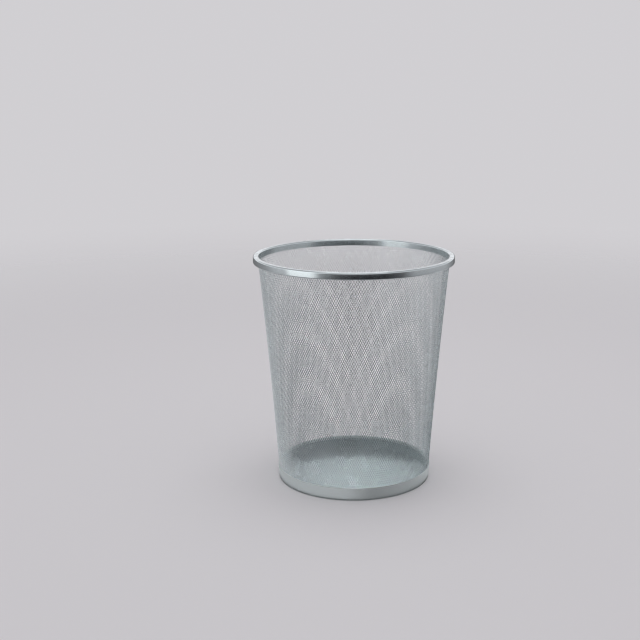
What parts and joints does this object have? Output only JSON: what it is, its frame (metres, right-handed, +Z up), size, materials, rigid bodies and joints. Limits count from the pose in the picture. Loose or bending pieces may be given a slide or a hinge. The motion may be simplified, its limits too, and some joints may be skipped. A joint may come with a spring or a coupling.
{
  "type": "wastebasket",
  "caption": "Round tapered open-top wastebasket: expanded steel mesh wall, rolled steel rim hoop, solid base band and sheet steel floor.",
  "frame": {"origin": "centre of the circular footprint, at the height of the foot ring's underside", "axes": "+Z up along the basket's axis of revolution, out of its mouth; the wall's lap seam faces +Y, so -Y is the front"},
  "size_m": [0.3, 0.3, 0.345],
  "materials": {
    "mesh_steel": "expanded steel mesh, silver metallic lacquer, satin",
    "rim_steel": "roll-formed steel, silver metallic lacquer, semi-gloss",
    "band_steel": "steel strip, silver metallic lacquer, satin",
    "pan_steel": "pressed steel sheet, silver metallic lacquer, satin"
  },
  "bodies": {
    "root": {"mesh_wall": "mesh_steel", "rim_hoop": "rim_steel", "base_band": "band_steel", "floor_pan": "pan_steel"}
  },
  "joints": []
}
